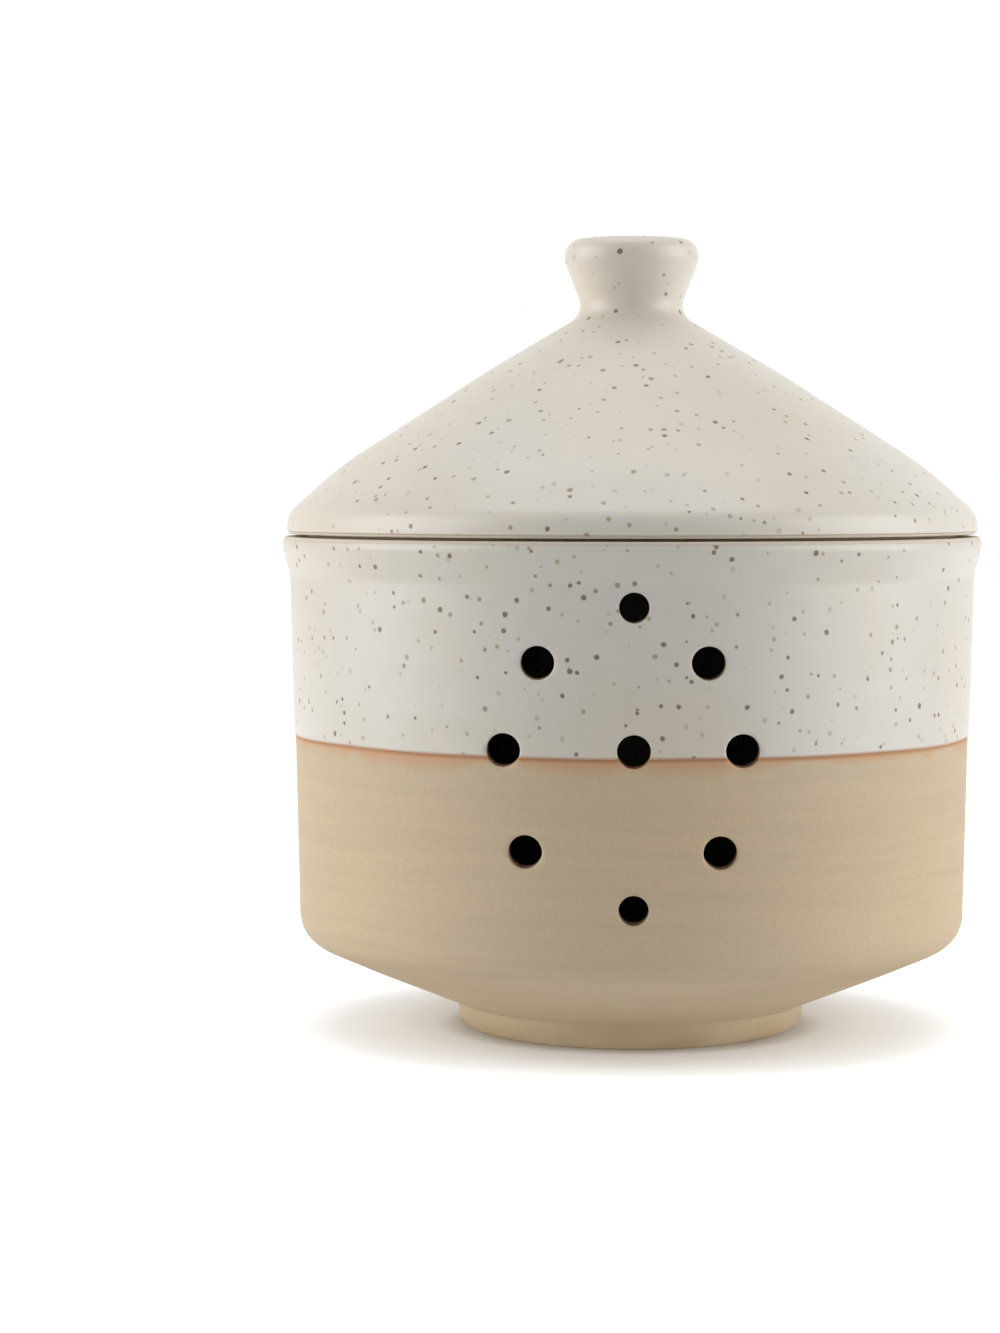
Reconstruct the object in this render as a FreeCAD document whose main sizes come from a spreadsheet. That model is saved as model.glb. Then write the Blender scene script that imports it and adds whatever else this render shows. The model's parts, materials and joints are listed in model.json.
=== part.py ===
import FreeCAD, Part
import math
import os
import Sketcher

# Garlic keeper: a thrown stoneware pot on a turned foot ring, with vents drilled through
# its front wall, and a domed lid with a knob that drops into its mouth.
# The pot's upper wall, its inside and both faces of the lid carry a coat of glaze.
# Millimetres. +Z is up, the vents face -Y, and the origin is on the pot's axis,
# in the plane that the foot ring stands on.

SIZES = {
    # Pot, clay
    "pot_radius": (63.8, "outside of the wall where the lip starts"),
    "rim_height": (92.4, "flat rim, above the foot's resting plane"),
    "wall": (5.0, "thickness of the wall"),
    "wall_taper": (1.4, "by how much the wall is drawn in at the bottom"),
    "lip_flare": (1.35, "by how much the lip stands out from the wall"),
    "lip_depth": (7.3, "from the rim down to where the lip starts"),
    "lip_face": (1.8, "height of the lip's upright edge"),
    "lip_cove": (4.1, "round where the wall turns out into the lip"),
    "lip_swell": (1.7, "round where the lip turns upright"),
    "rim_round": (0.4, "round of the rim's two edges"),
    "belly_height": (17.5, "height of the corner between wall and underside"),
    "belly_round": (6.6, "round of that corner"),
    "bend_inset": (11.9, "from that corner in to the bend in the underside"),
    "bend_drop": (5.3, "from that corner down to the bend in the underside"),
    "bend_round": (58.0, "round of the bend in the underside"),
    "foot_radius": (32.5, "outside of the foot ring"),
    "foot_height": (4.8, "from the resting plane up to the underside"),
    "foot_width": (6.5, "foot ring, from its outside to its inside"),
    "foot_recess": (3.0, "depth of the hollow inside the foot ring"),
    "foot_round": (3.0, "round of the foot's outer edge"),
    "foot_small_round": (0.5, "round of the foot's other edges"),
    "floor": (6.0, "thickness of the floor"),
    "floor_bend_round": (15.0, "round of the bend in the floor"),
    "floor_corner_round": (10.0, "round between floor and wall"),
    # Lid, clay
    "lid_setback": (0.8, "lid's edge, inside the lip's edge"),
    "edge_height": (3.9, "upright edge of the lid"),
    "edge_round": (4.5, "round from that edge to the slope"),
    "seat_width": (3.7, "seat that rests on the rim, out from the flange"),
    "edge_relief": (0.5, "by how much the lid's lower edge stands clear of the rim"),
    "lower_edge_round": (0.35, "round of that edge"),
    "haunch_inset": (9.5, "from the lid's edge in to the bend above it"),
    "haunch_height": (12.6, "that bend, above the seat"),
    "haunch_round": (60.0, "round of that bend"),
    "slope_radius": (27.1, "bend halfway up the slope"),
    "slope_height": (30.5, "that bend, above the seat"),
    "slope_round": (120.0, "round of that bend"),
    "neck_radius": (8.35, "where slope and knob would meet"),
    "neck_height": (41.5, "that point, above the seat"),
    "neck_round": (4.1, "cove between slope and knob"),
    "knob_radius": (12.2, "widest part of the knob"),
    "knob_flare": (10.0, "height of the knob's flared side"),
    "knob_side_round": (2.8, "round where the flared side turns upright"),
    "knob_edge": (3.6, "height of the knob's upright edge"),
    "knob_edge_round": (2.7, "round from that edge to the top"),
    "knob_dome": (0.5, "rise of the knob's top"),
    "lid_wall": (6.0, "upright thickness of the lid"),
    "hollow_round": (4.0, "rounds inside the lid"),
    "flange_depth": (8.0, "flange, below the seat"),
    "flange_wall": (4.5, "thickness of the flange"),
    "flange_round": (1.0, "round of the flange's lower edges"),
    "flange_clearance": (1.2, "flange to the glazed mouth, on the radius"),
    # Glaze
    "coat": (0.3, "thickness of the glaze"),
    "glaze_line": (55.3, "height at which the glaze outside the pot stops"),
    "bare_lip": (0.5, "clay left bare outside the lip, below the rim"),
    "bare_rim": (2.0, "clay left bare inside the mouth, below the rim"),
    "bare_edge": (0.45, "clay left bare above the lid's lower edge"),
    "bare_flange": (3.0, "clay left bare at the foot of the flange's inside"),
    # Vents
    "vent_radius": (2.9, "vents"),
    "end_vent_radius": (2.6, "the highest and the lowest vent"),
    "vent_column": (0.6, "single vents, to the right of the axis"),
    "pair_middle": (-1.3, "middle of each pair, to the right of the axis"),
    "middle_vent_rise": (1.3, "middle row, above the glaze line"),
    "top_vent_rise": (24.6, "highest vent, above the middle row"),
    "upper_pair_rise": (15.1, "upper pair, above the middle row"),
    "upper_pair_spread": (14.6, "upper pair, each from its middle"),
    "middle_pair_spread": (20.5, "middle pair, each from its middle"),
    "lower_pair_drop": (17.5, "lower pair, below the middle row"),
    "lower_pair_spread": (16.7, "lower pair, each from its middle"),
    "bottom_vent_drop": (27.3, "lowest vent, below the middle row"),
}

# Places that follow from the sizes, as expressions that the document evaluates
BELLY_RADIUS = "(Sizes.pot_radius - Sizes.wall_taper)"
LIP_START = "(Sizes.rim_height - Sizes.lip_depth)"
LIP_RADIUS = "(Sizes.pot_radius + Sizes.lip_flare)"
LIP_TURN = "(Sizes.rim_height - Sizes.lip_face)"
BEND_RADIUS = f"({BELLY_RADIUS} - Sizes.bend_inset)"
BEND_HEIGHT = "(Sizes.belly_height - Sizes.bend_drop)"
FOOT_BORE = "(Sizes.foot_radius - Sizes.foot_width)"
FLOOR_TOP = "(Sizes.foot_recess + Sizes.floor)"
MOUTH_RADIUS = "(Sizes.pot_radius - Sizes.wall)"
LINING_RADIUS = f"({BELLY_RADIUS} - Sizes.wall)"
LINING_HEIGHT = "(Sizes.belly_height + Sizes.floor)"
WALL_LEAN = f"(Sizes.wall_taper / ({LIP_START} - Sizes.belly_height))"
MOUTH_LEAN = f"(Sizes.wall_taper / (Sizes.rim_height - {LINING_HEIGHT}))"
LID_RADIUS = f"({LIP_RADIUS} - Sizes.lid_setback)"
HAUNCH_RADIUS = f"({LID_RADIUS} - Sizes.haunch_inset)"
KNOB_TURN = "(Sizes.neck_height + Sizes.knob_flare)"
KNOB_TOP = f"({KNOB_TURN} + Sizes.knob_edge)"
FLANGE_OUTSIDE = f"({MOUTH_RADIUS} - Sizes.coat - Sizes.flange_clearance)"
FLANGE_INSIDE = f"({FLANGE_OUTSIDE} - Sizes.flange_wall)"
SLOPE_LEAN = (
    f"((Sizes.slope_height - Sizes.haunch_height) / ({HAUNCH_RADIUS} - Sizes.slope_radius))"
)
EAVE_HEIGHT = (
    f"(Sizes.haunch_height + ({HAUNCH_RADIUS} - {FLANGE_INSIDE}) * {SLOPE_LEAN}"
    " - Sizes.lid_wall)"
)
MIDDLE_ROW = "(Sizes.glaze_line + Sizes.middle_vent_rise)"

ORIGIN = (-1, 1)
ACROSS_AXIS = -1
UP_AXIS = -2
START, END, CENTRE = 1, 2, 3


def make_sheet(doc):
    """Spreadsheet of the driving dimensions: value, alias and meaning in each row."""
    sheet = doc.addObject("Spreadsheet::Sheet", "Sizes")
    for row, (alias, (value, meaning)) in enumerate(SIZES.items(), start=1):
        sheet.set(f"A{row}", str(value))
        sheet.setAlias(f"A{row}", alias)
        sheet.set(f"B{row}", f"{alias}: {meaning}")
    doc.recompute()
    return sheet


def origin_plane(body, role):
    """One of the body's own origin planes."""
    return next(plane for plane in body.Origin.OriginFeatures if plane.Role == role)


def make_body(doc, name, height=None):
    """Empty body; a height expression lifts it to its place."""
    body = doc.addObject("PartDesign::Body", name)
    body.Label = name
    if height:
        body.setExpression(".Placement.Base.z", height)
    return body


def make_sketch(body, name):
    """Sketch on the body's upright plane: across is X and up is Z."""
    sketch = body.newObject("Sketcher::SketchObject", name)
    sketch.AttachmentSupport = [(origin_plane(body, "XZ_Plane"), "")]
    sketch.MapMode = "FlatFace"
    return sketch


def bind(sketch, name, constraint, expression):
    """Named constraint that takes its value from an expression."""
    index = sketch.addConstraint(constraint)
    sketch.renameConstraint(index, name)
    sketch.setExpression(f"Constraints.{name}", expression)


def place_point(sketch, name, geometry, position, corner):
    """Hold a point of the sketch at a corner's place."""
    across, up = corner.across, corner.up
    if across == "0":
        sketch.addConstraint(Sketcher.Constraint("PointOnObject", geometry, position, UP_AXIS))
    else:
        distance = Sketcher.Constraint("DistanceX", *ORIGIN, geometry, position, corner.point.x)
        bind(sketch, f"{name}_across", distance, across)
    if up == "0":
        sketch.addConstraint(
            Sketcher.Constraint("PointOnObject", geometry, position, ACROSS_AXIS)
        )
    else:
        distance = Sketcher.Constraint("DistanceY", *ORIGIN, geometry, position, corner.point.y)
        bind(sketch, f"{name}_up", distance, up)


class Corner:
    """Corner of an outline: its place and, where it is rounded, the round's radius."""

    def __init__(self, across, up, rounding=None):
        self.across = across
        self.up = up
        self.rounding = rounding

    def shifted(self, across, up):
        """The same corner, moved by two expressions; it stays on the axis if it is on it."""
        moved = self.across if self.across == "0" else f"({self.across} + {across})"
        return Corner(moved, f"({self.up} + {up})", self.rounding)

    def evaluate(self, sketch):
        """Work out the corner's place and round in numbers."""
        self.point = FreeCAD.Vector(
            float(sketch.evalExpression(self.across)), float(sketch.evalExpression(self.up)), 0
        )
        self.radius = float(sketch.evalExpression(self.rounding)) if self.rounding else 0.0

    def fit_round(self, before, after):
        """Tangent points and centre of the round, between the neighbouring corners."""
        self.entry = self.leave = self.point
        if not self.rounding:
            return
        back = (before.point - self.point).normalize()
        ahead = (after.point - self.point).normalize()
        half = back.getAngle(ahead) / 2
        reach = self.radius / math.tan(half)
        self.entry = self.point + back * reach
        self.leave = self.point + ahead * reach
        self.centre = self.point + (back + ahead).normalize() * (self.radius / math.sin(half))
        self.turns_left = ahead.cross(back).z > 0


def draw_outline(sketch, corners):
    """Closed outline through the corners, with a tangent arc at each rounded one."""
    count = len(corners)
    for corner in corners:
        corner.evaluate(sketch)
    for i, corner in enumerate(corners):
        corner.fit_round(corners[i - 1], corners[(i + 1) % count])
    for i, corner in enumerate(corners):
        following = corners[(i + 1) % count]
        sketch.addGeometry(Part.LineSegment(corner.leave, following.entry))
    for i, corner in enumerate(corners):
        before = (i - 1) % count
        if corner.rounding:
            round_corner(sketch, f"corner_{i}", corner, before, i)
        else:
            sketch.addConstraint(Sketcher.Constraint("Coincident", before, END, i, START))
            place_point(sketch, f"corner_{i}", i, START, corner)


def round_corner(sketch, name, corner, before, after):
    """Arc tangent to two lines, whose sharp corner is held by a construction point."""
    spokes = [corner.entry - corner.centre, corner.leave - corner.centre]
    if not corner.turns_left:
        spokes.reverse()
    first, last = [math.atan2(spoke.y, spoke.x) for spoke in spokes]
    circle = Part.Circle(corner.centre, FreeCAD.Vector(0, 0, 1), corner.radius)
    arc = sketch.addGeometry(Part.ArcOfCircle(circle, first, last))
    entry, leave = (START, END) if corner.turns_left else (END, START)
    point = sketch.addGeometry(Part.Point(corner.point), True)
    place_point(sketch, name, point, START, corner)
    sketch.addConstraint(Sketcher.Constraint("PointOnObject", point, START, before))
    sketch.addConstraint(Sketcher.Constraint("PointOnObject", point, START, after))
    sketch.addConstraint(Sketcher.Constraint("Tangent", before, END, arc, entry))
    sketch.addConstraint(Sketcher.Constraint("Tangent", arc, leave, after, START))
    radius = Sketcher.Constraint("Radius", arc, corner.radius)
    bind(sketch, f"{name}_round", radius, corner.rounding)


def turn(body, name, corners):
    """Solid of revolution about the body's upright axis."""
    sketch = make_sketch(body, f"{name}_outline")
    draw_outline(sketch, corners)
    revolution = body.newObject("PartDesign::Revolution", f"{name}_turned")
    revolution.Profile = sketch
    revolution.ReferenceAxis = (sketch, ["V_Axis"])
    revolution.Angle = 360
    sketch.Visibility = False
    return revolution


def coat_outline(clay_side, across, up):
    """Outline of a coat: along the clay, and back along the same corners moved off it."""
    free_side = [corner.shifted(across, up) for corner in clay_side]
    free_side[0].up = clay_side[0].up
    return clay_side + free_side[::-1]


def vents():
    """Name, place and radius of each vent, seen from the front."""
    single = "Sizes.vent_column"
    rows = {
        "top": ("Sizes.top_vent_rise", None),
        "upper": ("Sizes.upper_pair_rise", "Sizes.upper_pair_spread"),
        "middle": ("0", "Sizes.middle_pair_spread"),
        "lower": ("-Sizes.lower_pair_drop", "Sizes.lower_pair_spread"),
        "bottom": ("-Sizes.bottom_vent_drop", None),
    }
    for row, (rise, spread) in rows.items():
        height = f"({MIDDLE_ROW} + {rise})"
        if spread is None:
            yield row, Corner(single, height, "Sizes.end_vent_radius")
            continue
        yield f"{row}_left", Corner(f"(Sizes.pair_middle - {spread})", height, "Sizes.vent_radius")
        yield f"{row}_right", Corner(f"(Sizes.pair_middle + {spread})", height, "Sizes.vent_radius")
    yield "centre", Corner(single, MIDDLE_ROW, "Sizes.vent_radius")


def drill_vents(doc, body, solid):
    """Vents from the axis out through the front, all square to the front."""
    sketch = make_sketch(body, f"{body.Label}_vent_places")
    for name, vent in vents():
        vent.evaluate(sketch)
        circle = Part.Circle(vent.point, FreeCAD.Vector(0, 0, 1), vent.radius)
        index = sketch.addGeometry(circle)
        place_point(sketch, f"vent_{name}", index, CENTRE, vent)
        radius = Sketcher.Constraint("Radius", index, vent.radius)
        bind(sketch, f"vent_{name}_radius", radius, vent.rounding)
    doc.recompute()
    whole = solid.Shape.Volume
    pocket = body.newObject("PartDesign::Pocket", f"{body.Label}_vents")
    pocket.Profile = sketch
    pocket.Type = "ThroughAll"
    pocket.Reversed = True
    sketch.Visibility = False
    doc.recompute()
    if pocket.Shape.Volume >= whole:
        raise RuntimeError(f"the vents cut nothing out of {body.Label}")


def wall_radius(height):
    """Outside of the clay wall at a height."""
    return f"({BELLY_RADIUS} + ({height} - Sizes.belly_height) * {WALL_LEAN})"


def mouth_radius(height):
    """Inside of the clay wall at a height."""
    return f"({LINING_RADIUS} + ({height} - {LINING_HEIGHT}) * {MOUTH_LEAN})"


def lip_corners():
    """Outside of the pot where it turns out into the lip."""
    return [
        Corner("Sizes.pot_radius", LIP_START, "Sizes.lip_cove"),
        Corner(LIP_RADIUS, LIP_TURN, "Sizes.lip_swell"),
    ]


def pot_inside_corners():
    """Inside of the pot, from the wall down to the middle of the floor."""
    return [
        Corner(LINING_RADIUS, LINING_HEIGHT, "Sizes.floor_corner_round"),
        Corner(BEND_RADIUS, f"({BEND_HEIGHT} + Sizes.floor)", "Sizes.floor_bend_round"),
        Corner(FOOT_BORE, FLOOR_TOP, "Sizes.floor_bend_round"),
        Corner("0", FLOOR_TOP),
    ]


def lid_outside_corners():
    """Outside of the lid and its knob, from the edge up to the middle of the top."""
    return [
        Corner(LID_RADIUS, "Sizes.edge_height", "Sizes.edge_round"),
        Corner(HAUNCH_RADIUS, "Sizes.haunch_height", "Sizes.haunch_round"),
        Corner("Sizes.slope_radius", "Sizes.slope_height", "Sizes.slope_round"),
        Corner("Sizes.neck_radius", "Sizes.neck_height", "Sizes.neck_round"),
        Corner("Sizes.knob_radius", KNOB_TURN, "Sizes.knob_side_round"),
        Corner("Sizes.knob_radius", KNOB_TOP, "Sizes.knob_edge_round"),
        Corner("0", f"({KNOB_TOP} + Sizes.knob_dome)"),
    ]


def lid_inside_corners():
    """Inside of the lid, from the flange up to the middle of the hollow."""
    hollow_top = "(Sizes.neck_height - Sizes.lid_wall)"
    return [
        Corner(FLANGE_INSIDE, EAVE_HEIGHT, "Sizes.hollow_round"),
        Corner("Sizes.slope_radius", "(Sizes.slope_height - Sizes.lid_wall)", "Sizes.slope_round"),
        Corner("Sizes.neck_radius", hollow_top, "Sizes.hollow_round"),
        Corner("0", hollow_top),
    ]


def make_pot_body(doc):
    """Clay of the pot: foot ring, underside, wall, lip, rim and floor."""
    body = make_body(doc, "pot_body")
    small = "Sizes.foot_small_round"
    corners = [
        Corner("0", "Sizes.foot_recess"),
        Corner(FOOT_BORE, "Sizes.foot_recess", small),
        Corner(FOOT_BORE, "0", small),
        Corner("Sizes.foot_radius", "0", "Sizes.foot_round"),
        Corner("Sizes.foot_radius", "Sizes.foot_height", small),
        Corner(BEND_RADIUS, BEND_HEIGHT, "Sizes.bend_round"),
        Corner(BELLY_RADIUS, "Sizes.belly_height", "Sizes.belly_round"),
        *lip_corners(),
        Corner(LIP_RADIUS, "Sizes.rim_height", "Sizes.rim_round"),
        Corner(MOUTH_RADIUS, "Sizes.rim_height", "Sizes.rim_round"),
        *pot_inside_corners(),
    ]
    drill_vents(doc, body, turn(body, "pot", corners))
    return body


def make_pot_outer_glaze(doc):
    """Coat on the pot's wall and lip, from the glaze line up to the bare edge of the rim."""
    body = make_body(doc, "pot_outer_glaze")
    top = "(Sizes.rim_height - Sizes.bare_lip)"
    clay_side = [
        Corner(wall_radius("Sizes.glaze_line"), "Sizes.glaze_line"),
        *lip_corners(),
        Corner(LIP_RADIUS, top),
    ]
    corners = coat_outline(clay_side, "Sizes.coat", "0")
    drill_vents(doc, body, turn(body, "outer_coat", corners))
    return body


def make_pot_inner_glaze(doc):
    """Coat on the pot's inside, from the bare rim down over the floor."""
    body = make_body(doc, "pot_inner_glaze")
    top = "(Sizes.rim_height - Sizes.bare_rim)"
    clay_side = [Corner(mouth_radius(top), top), *pot_inside_corners()]
    corners = coat_outline(clay_side, "-Sizes.coat", "Sizes.coat")
    drill_vents(doc, body, turn(body, "inner_coat", corners))
    return body


def make_lid_body(doc):
    """Clay of the lid: dome with its knob, seat, and flange that drops into the mouth."""
    body = make_body(doc, "lid_body", "Sizes.rim_height")
    seat_edge = f"({FLANGE_OUTSIDE} + Sizes.seat_width)"
    corners = [
        Corner(FLANGE_OUTSIDE, "0"),
        Corner(seat_edge, "0"),
        Corner(seat_edge, "Sizes.edge_relief"),
        Corner(LID_RADIUS, "Sizes.edge_relief", "Sizes.lower_edge_round"),
        *lid_outside_corners(),
        *lid_inside_corners()[::-1],
        Corner(FLANGE_INSIDE, "-Sizes.flange_depth", "Sizes.flange_round"),
        Corner(FLANGE_OUTSIDE, "-Sizes.flange_depth", "Sizes.flange_round"),
    ]
    turn(body, "lid", corners)
    return body


def make_lid_outer_glaze(doc):
    """Coat on the lid and its knob, down to the bare lower edge."""
    body = make_body(doc, "lid_outer_glaze", "Sizes.rim_height")
    start = "(Sizes.edge_relief + Sizes.bare_edge)"
    clay_side = [Corner(LID_RADIUS, start), *lid_outside_corners()]
    turn(body, "lid_coat", coat_outline(clay_side, "Sizes.coat", "Sizes.coat"))
    return body


def make_lid_inner_glaze(doc):
    """Coat on the inside of the lid, from the bare foot of the flange up."""
    body = make_body(doc, "lid_inner_glaze", "Sizes.rim_height")
    start = "(Sizes.bare_flange - Sizes.flange_depth)"
    clay_side = [Corner(FLANGE_INSIDE, start), *lid_inside_corners()]
    turn(body, "hollow_coat", coat_outline(clay_side, "-Sizes.coat", "-Sizes.coat"))
    return body


def check_document(doc, bodies):
    """Stop if any object failed or any piece isn't one valid solid."""
    failed = [item.Label for item in doc.Objects if {"Invalid", "Error"} & set(item.State)]
    if failed:
        raise RuntimeError(f"failed objects: {failed}")
    for body in bodies:
        shape = body.Shape
        if shape.isNull() or not shape.isValid() or len(shape.Solids) != 1:
            raise RuntimeError(f"{body.Label} isn't one valid solid")


def main():
    """Build the document, check it and write each piece."""
    doc = FreeCAD.newDocument("garlic_keeper")
    make_sheet(doc)
    makers = (
        make_pot_body,
        make_pot_outer_glaze,
        make_pot_inner_glaze,
        make_lid_body,
        make_lid_outer_glaze,
        make_lid_inner_glaze,
    )
    bodies = [make(doc) for make in makers]
    doc.recompute()
    check_document(doc, bodies)
    os.makedirs("parts", exist_ok=True)
    for body in bodies:
        body.Shape.exportStep(f"parts/{body.Label}.step")
        box = body.Shape.BoundBox
        volume = body.Shape.Volume / 1000
        print(f"{body.Label}: {volume:.2f} cm3, z {box.ZMin:.2f} to {box.ZMax:.2f}")


main()
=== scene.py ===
import json
import math

import bpy
import numpy as np
from bpy.props import FloatProperty, FloatVectorProperty, PointerProperty
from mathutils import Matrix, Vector


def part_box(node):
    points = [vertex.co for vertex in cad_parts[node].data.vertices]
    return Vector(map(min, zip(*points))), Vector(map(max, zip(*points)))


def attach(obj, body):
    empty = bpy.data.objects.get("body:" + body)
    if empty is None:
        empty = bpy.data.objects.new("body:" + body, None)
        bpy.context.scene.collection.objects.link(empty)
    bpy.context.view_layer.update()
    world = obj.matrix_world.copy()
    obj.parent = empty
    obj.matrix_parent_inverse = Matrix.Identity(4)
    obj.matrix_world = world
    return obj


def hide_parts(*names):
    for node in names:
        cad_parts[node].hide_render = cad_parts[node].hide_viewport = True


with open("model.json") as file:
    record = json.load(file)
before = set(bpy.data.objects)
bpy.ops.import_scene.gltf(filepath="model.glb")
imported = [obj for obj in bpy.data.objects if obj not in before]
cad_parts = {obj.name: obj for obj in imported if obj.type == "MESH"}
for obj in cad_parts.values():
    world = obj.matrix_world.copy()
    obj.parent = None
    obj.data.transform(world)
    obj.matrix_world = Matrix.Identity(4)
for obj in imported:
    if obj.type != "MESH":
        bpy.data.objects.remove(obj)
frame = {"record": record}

bl_info = {
    "name": "Stoneware Garlic Keeper",
    "version": (1, 0, 0),
    "blender": (4, 5, 0),
    "location": "3D View > Sidebar > Keeper",
    "description": "Builds a speckled stoneware garlic keeper and its studio",
    "category": "Add Mesh",
}

MM = 0.001
TURN = 2.0 * math.pi

# Places that the frame gives, in metres
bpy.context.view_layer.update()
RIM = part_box("pot_body")[1].z
GLAZE_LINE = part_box("pot_outer_glaze")[0].z
POT_COAT_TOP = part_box("pot_outer_glaze")[1].z
LINING_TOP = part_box("pot_inner_glaze")[1].z
LID_COAT_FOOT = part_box("lid_outer_glaze")[0].z
FLANGE_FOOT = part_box("lid_body")[0].z
HOLLOW_COAT_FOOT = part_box("lid_inner_glaze")[0].z

# Outlines in millimetres: radius, height and, where the corner is round, its round
LIP = RIM / MM
UNDERSIDE = [
    (0.0, 3.0), (26.0, 3.0, 0.5), (26.0, 0.0, 0.5), (32.5, 0.0, 3.0), (32.5, 4.8, 0.5),
    (50.5, 12.2, 58.0), (62.4, 17.5, 6.6),
]
WALL_AND_LIP = [(63.8, LIP - 7.3, 4.1), (65.15, LIP - 1.8, 1.7)]
RIM_EDGES = [(65.15, LIP, 0.4), (58.8, LIP, 0.4)]
POT_INSIDE = [(57.4, 23.5, 10.0), (50.5, 18.2, 15.0), (26.0, 9.0, 15.0), (0.0, 9.0)]
LID_OUTSIDE = [
    (64.35, LIP + 3.9, 4.5), (54.85, LIP + 12.6, 60.0), (27.1, LIP + 30.5, 120.0),
    (8.35, LIP + 41.5, 4.1), (12.2, LIP + 51.5, 2.8), (12.2, LIP + 55.1, 2.7),
    (0.0, LIP + 55.6),
]
LID_INSIDE = [
    (52.8, LIP + 7.92, 4.0), (27.1, LIP + 24.5, 120.0), (8.35, LIP + 35.5, 4.0),
    (0.0, LIP + 35.5),
]
SEAT = [(61.0, LIP), (61.0, LIP + 0.5), (64.35, LIP + 0.5, 0.35)]
FLANGE = [(57.3, LIP), (57.3, FLANGE_FOOT / MM, 1.0), (52.8, FLANGE_FOOT / MM, 1.0)]

# Grids: sides of a turned piece and of a vent, longest steps along an outline in millimetres,
# height and step of the fine rows at the lower edge of a coat in millimetres
SIDES = 300
VENT_SIDES = 64
ANGLES = np.arange(SIDES) / SIDES * TURN
CLAY_STEP = 1.3
COAT_STEP = 0.9
POT_EDGE_ROWS = (1.2, 0.1)
LID_EDGE_ROWS = (1.0, 0.12)
LEAST_ARC_PIECES = 8
SAME_POINT = 1e-6
SHARP_ANGLE = math.radians(50)

# Marks of the hand. A wave of the glaze line has a count in a turn, a phase and a share;
# a set of rings a spacing in millimetres, its climbs in a turn, a phase and a share
LINE_WAVES = ((2, 0.7, 0.5), (5, 2.1, 0.3), (11, 4.0, 0.2))
RINGS = ((9.0, -1, 0.0, 1.0), (4.3, 1, 1.0, 0.6), (21.0, 0, 2.0, 0.4))
RINGED_FROM_RADIUS = 60.0 * MM
RINGED_HEIGHTS = (19.0 * MM, 84.0 * MM)

# Coats of glaze, in metres
COAT_SINK = 0.1 * MM            # how far a coat reaches into the clay
LINE_BEAD = 0.5 * MM            # height of the round at the glaze line
LIP_BEAD = 0.35 * MM            # the same below the rim
LID_BEAD = 0.35 * MM            # the same above the lid's bare edge
LINE_FADE = 4.0 * MM            # height over which the glaze line's waves die out
LIP_CALM = 12.0 * MM            # depth below the rim over which the rings come up
LIP_THINNING = 0.02 * MM        # by how much the coat is thinner at the rim
LID_CALM = 4.0 * MM             # height over which the rings come up on the lid
KNOB_CALM = (15.0 * MM, 25.0 * MM)  # radii between which they come up round the knob
SLOPE_SHARE = 0.8               # how much of the radius counts as height on the slope

# Vents: places that no opening of the record gives, and how far the edge is softened
TOP_VENT_RISE = 24.6 * MM
BOTTOM_VENT_DROP = 27.3 * MM
CLAY_SOFTENING = 0.35 * MM
COAT_SOFTENING = 0.3 * MM
# Rings of a plug: millimetres below the surface, and share of the softening round the vent
PLUG_RINGS = (
    (-1.5, 1.9), (-0.02, 1.02), (0.0, 0.8), (0.04, 0.55), (0.12, 0.26), (0.28, 0.07),
    (0.5, 0.0), (9.0, 0.0),
)

# Specks, in metres, each kind with a shift of its own
OCHRE_SPECKS = {"spacing": 3.9 * MM, "radius": 0.62 * MM, "softness": 0.34 * MM, "seed": 0.37}
IRON_SPECKS = {"spacing": 2.8 * MM, "radius": 0.64 * MM, "softness": 0.26 * MM, "seed": 0.013}
CLAY_SPECKS = {"spacing": 5.2 * MM, "radius": 0.34 * MM, "softness": 0.25 * MM, "seed": 0.71}

# Shares of red, green and blue that make one colour out of another
WARM_GLAZE = (0.98, 0.94, 0.87)
PALE_CLAY = (1.06, 1.02, 0.97)
BRINK_TOAST = (0.68, 0.58, 0.5)
FOOT_CLAY = (0.62, 0.52, 0.42)
FILM_RADII = (61.0 * MM, 63.5 * MM)
FILM_DEPTHS = (2.0 * MM, 0.8 * MM)

# Studio: places in metres, angles in degrees
CAMERA_DISTANCE = 0.631
CAMERA_HEIGHT = 0.1027
CAMERA_SENSOR = 36.0
CAMERA_LENS = 90.31
CAMERA_PITCH = 3.175
CAMERA_YAW = 2.24
LAMPS = {
    # name: place, point it faces, width, height, power
    "left_box": ((-0.84, -0.18, 0.36), (0.0, 0.0, 0.08), 0.8, 0.75, 7.3),
    "right_box": ((0.84, -0.18, 0.36), (0.0, 0.0, 0.08), 0.8, 0.75, 7.3),
    "ceiling": ((0.0, 0.1, 0.95), (0.0, 0.0, 0.0), 0.8, 0.6, 3.2),
}
WHITE = (1.0, 1.0, 1.0, 1.0)
WORLD_LIGHT = 0.02
FLOOR_REACH = 3.0
FLOOR_COLOUR = (0.76, 0.765, 0.77, 1.0)
FLOOR_ROUGHNESS = 0.35
# Glow of the floor: distances from the middle between which it comes up or goes, and its strength.
# Where the glow dies out towards the foot, it paints the object's contact shadow and how far that
# shadow reaches
FLOOR_GLOW_PAINTED_CONTACT_SHADOW = (0.031, 0.038, 0.22)
FLOOR_GLOW_PAINTED_SHADOW_FADE = (0.036, 0.09, 0.78)
FLOOR_BOUNCE = (0.045, 0.10, 0.24)


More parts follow.
